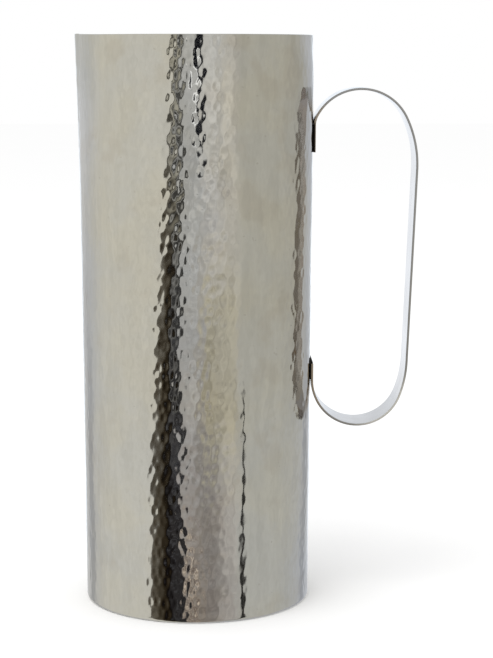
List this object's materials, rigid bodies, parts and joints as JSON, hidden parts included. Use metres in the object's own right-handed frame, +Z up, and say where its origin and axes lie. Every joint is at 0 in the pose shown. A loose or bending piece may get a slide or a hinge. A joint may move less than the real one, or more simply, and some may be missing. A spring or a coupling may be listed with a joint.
{
  "type": "water pitcher",
  "caption": "Tall, slightly tapered hammered metal water pitcher with a small pouring lip and a flat strap handle brazed to its wall.",
  "frame": {"origin": "middle of the base, on the plane of the flat ring that it stands on", "axes": "+Z up along the body's axis, +X towards the handle, -X towards the pouring lip"},
  "size_m": [0.1531, 0.105, 0.256],
  "materials": {
    "hammered_steel": "polished",
    "ground_weld": "satin",
    "pressed_steel": "satin",
    "strap_steel": "polished",
    "braze": "satin"
  },
  "bodies": {
    "root": {"body_wall": "hammered_steel", "wall_seam": "ground_weld", "base_pan": "pressed_steel", "base_weld": "ground_weld", "handle_strap": "strap_steel", "upper_braze": "braze", "lower_braze": "braze"}
  },
  "joints": []
}
